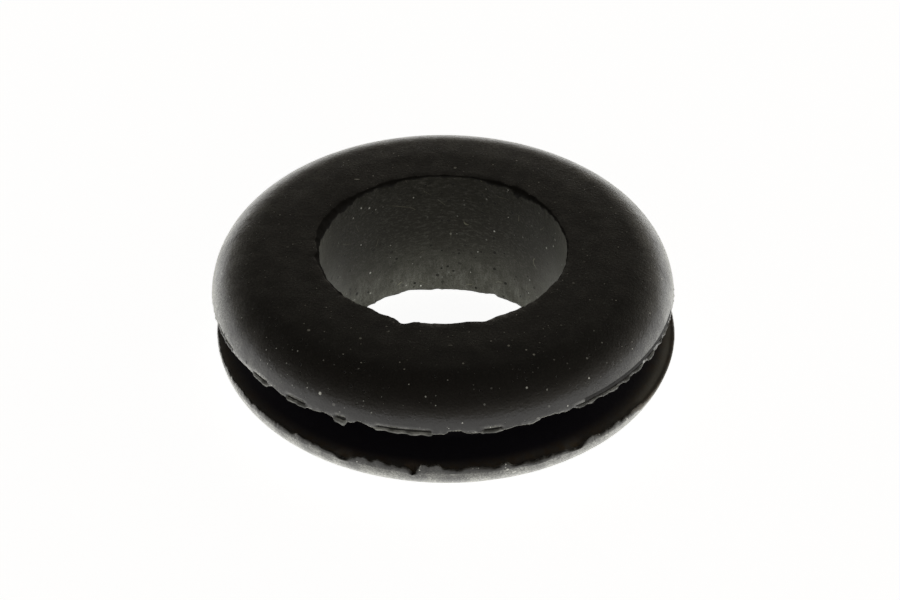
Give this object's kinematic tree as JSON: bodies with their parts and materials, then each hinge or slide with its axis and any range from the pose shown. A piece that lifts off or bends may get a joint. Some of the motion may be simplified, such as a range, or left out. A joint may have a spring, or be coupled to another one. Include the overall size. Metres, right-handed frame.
{
  "type": "rubber grommet",
  "caption": "Round black rubber grommet: a thick flanged ring with a groove for thin sheet around it and a plain bore for a cable through it.",
  "frame": {"origin": "on the bore's axis, at mid-height of the groove: the middle of the sheet once fitted, and the centre of the part", "axes": "+Z along the bore, from the bottom flange (sloped, pushed through the hole) to the top flange (flat face, round edge); X and Y are equivalent"},
  "size_m": [0.015, 0.015, 0.0046],
  "materials": {
    "rubber": "matt black moulded rubber, slightly dusty, with a dull sheen at grazing angles"
  },
  "bodies": {
    "root": {"grommet": "rubber"}
  },
  "joints": []
}
